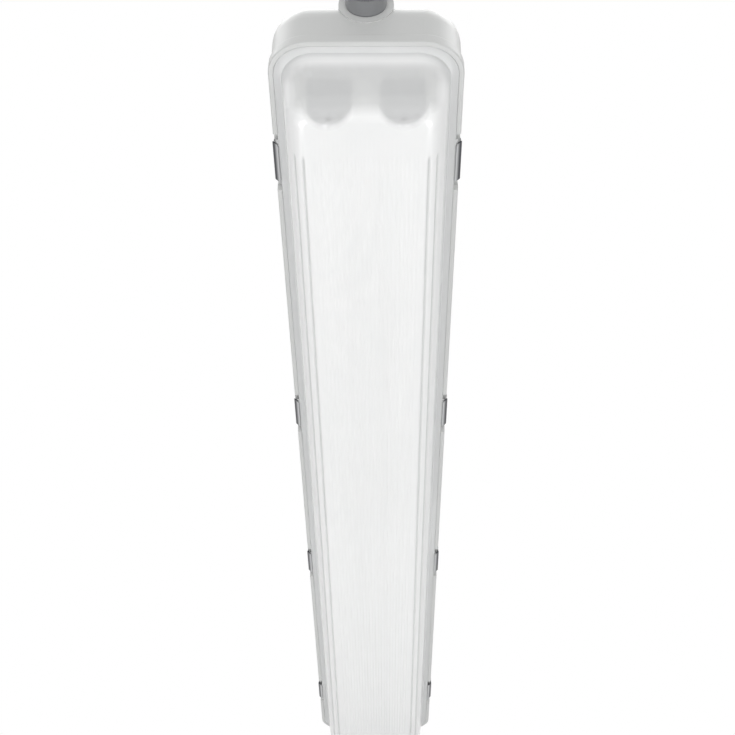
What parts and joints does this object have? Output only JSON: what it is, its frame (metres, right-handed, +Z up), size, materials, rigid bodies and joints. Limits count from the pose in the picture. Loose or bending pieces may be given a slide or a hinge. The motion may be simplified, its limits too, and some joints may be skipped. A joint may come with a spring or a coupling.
{
  "type": "vapor tight light fixture",
  "caption": "Long sealed ceiling light: a moulded housing with a ribbed frosted lens held by side latches, tube lamps on a gear tray, and a cable gland at one end.",
  "frame": {"origin": "in the ceiling plane, midway between the two ceiling screw holes", "axes": "+X across to the right, +Y along the length away from the cable gland, +Z up"},
  "size_m": [0.1606, 1.3524, 0.129],
  "materials": {
    "housing_plastic": "fine moulded grain, light grey",
    "gasket_rubber": "soft matt grey rubber",
    "gasket_silicone": "soft matt foamed silicone",
    "opal_lens": "frosted opal, smooth outside",
    "white_steel": "gloss white powder coat",
    "zinc_steel": "bright zinc plate",
    "stainless": "brushed along its length",
    "black_plastic": "matt",
    "white_plastic": "smooth moulded",
    "brass": "bright",
    "green_insulation": "smooth wire insulation",
    "blue_insulation": "smooth wire insulation",
    "holder_plastic": "moulded mid grey",
    "gland_plastic": "moulded mid grey nylon",
    "lamp_glass": "white phosphor inside clear glass",
    "cap_aluminium": "bright drawn"
  },
  "bodies": {
    "fixture": {"housing": "housing_plastic", "gasket": "gasket_silicone", "gear_tray": "white_steel", "tray_screws": "zinc_steel", "ballast_case": "white_steel", "ballast_core": "black_plastic", "ballast_terminals": "white_plastic", "ballast_screws": "zinc_steel", "terminal_block": "white_plastic", "terminal_clamp_screws": "brass", "terminal_fixing_screws": "zinc_steel", "earth_stud": "brass", "earth_nut": "brass", "earth_lead": "green_insulation", "live_lead": "black_plastic", "neutral_lead": "white_plastic", "lamp_leads_near": "blue_insulation", "lamp_leads_far": "blue_insulation", "lampholder_contacts": "brass", "gland_washer": "gasket_rubber", "gland_body": "gland_plastic", "gland_seal": "gasket_rubber", "gland_nut": "gland_plastic", "gland_locknut": "gland_plastic", "blind_plug_washer": "gasket_rubber", "blind_plug": "gland_plastic", "blind_plug_locknut": "gland_plastic", "ceiling_bracket_near": "stainless", "ceiling_bracket_far": "stainless", "latch_pins_left": "stainless", "latch_pins_right": "stainless", "lampholder_near_left": "holder_plastic", "lampholder_near_right": "holder_plastic", "lampholder_far_left": "holder_plastic", "lampholder_far_right": "holder_plastic"},
    "lens": {"diffuser": "opal_lens"},
    "lamp_left_body": {"lamp_tube_left": "lamp_glass", "lamp_caps_left": "cap_aluminium", "lamp_pins_left": "brass", "lamp_rotors_left": "holder_plastic"},
    "swing_left_1": {"latch_left_1": "stainless"},
    "swing_left_2": {"latch_left_2": "stainless"},
    "swing_left_3": {"latch_left_3": "stainless"},
    "swing_left_4": {"latch_left_4": "stainless"},
    "lamp_right_body": {"lamp_tube_right": "lamp_glass", "lamp_caps_right": "cap_aluminium", "lamp_pins_right": "brass", "lamp_rotors_right": "holder_plastic"},
    "swing_right_1": {"latch_right_1": "stainless"},
    "swing_right_2": {"latch_right_2": "stainless"},
    "swing_right_3": {"latch_right_3": "stainless"},
    "swing_right_4": {"latch_right_4": "stainless"}
  },
  "joints": [
    {"name": "lens_drop", "type": "slide", "parent": "fixture", "child": "lens", "axis": [0, 0, -1], "range_m": [0, 0.054]},
    {"name": "lamp_twist_left", "type": "hinge", "parent": "fixture", "child": "lamp_left_body", "pos_m": [-0.03, 0, -0.0885], "axis": [0, 1, 0], "range_deg": [0, 90]},
    {"name": "latch_swing_left_1", "type": "hinge", "parent": "fixture", "child": "swing_left_1", "pos_m": [-0.07777, -0.524, -0.056], "axis": [0, 1, 0], "range_deg": [0, 150]},
    {"name": "latch_swing_left_2", "type": "hinge", "parent": "fixture", "child": "swing_left_2", "pos_m": [-0.07777, -0.157, -0.056], "axis": [0, 1, 0], "range_deg": [0, 150]},
    {"name": "latch_swing_left_3", "type": "hinge", "parent": "fixture", "child": "swing_left_3", "pos_m": [-0.07777, 0.157, -0.056], "axis": [0, 1, 0], "range_deg": [0, 150]},
    {"name": "latch_swing_left_4", "type": "hinge", "parent": "fixture", "child": "swing_left_4", "pos_m": [-0.07777, 0.524, -0.056], "axis": [0, 1, 0], "range_deg": [0, 150]},
    {"name": "lamp_twist_right", "type": "hinge", "parent": "fixture", "child": "lamp_right_body", "pos_m": [0.03, 0, -0.0885], "axis": [0, 1, 0], "range_deg": [0, 90]},
    {"name": "latch_swing_right_1", "type": "hinge", "parent": "fixture", "child": "swing_right_1", "pos_m": [0.07777, -0.524, -0.056], "axis": [0, -1, 0], "range_deg": [0, 150]},
    {"name": "latch_swing_right_2", "type": "hinge", "parent": "fixture", "child": "swing_right_2", "pos_m": [0.07777, -0.157, -0.056], "axis": [0, -1, 0], "range_deg": [0, 150]},
    {"name": "latch_swing_right_3", "type": "hinge", "parent": "fixture", "child": "swing_right_3", "pos_m": [0.07777, 0.157, -0.056], "axis": [0, -1, 0], "range_deg": [0, 150]},
    {"name": "latch_swing_right_4", "type": "hinge", "parent": "fixture", "child": "swing_right_4", "pos_m": [0.07777, 0.524, -0.056], "axis": [0, -1, 0], "range_deg": [0, 150]}
  ],
  "couplings": [
    {"joint": "latch_swing_left_1", "follows": "lens_drop", "rad_per_m": 48.481},
    {"joint": "latch_swing_left_2", "follows": "lens_drop", "rad_per_m": 48.481},
    {"joint": "latch_swing_left_3", "follows": "lens_drop", "rad_per_m": 48.481},
    {"joint": "latch_swing_left_4", "follows": "lens_drop", "rad_per_m": 48.481},
    {"joint": "latch_swing_right_1", "follows": "lens_drop", "rad_per_m": 48.481},
    {"joint": "latch_swing_right_2", "follows": "lens_drop", "rad_per_m": 48.481},
    {"joint": "latch_swing_right_3", "follows": "lens_drop", "rad_per_m": 48.481},
    {"joint": "latch_swing_right_4", "follows": "lens_drop", "rad_per_m": 48.481}
  ]
}
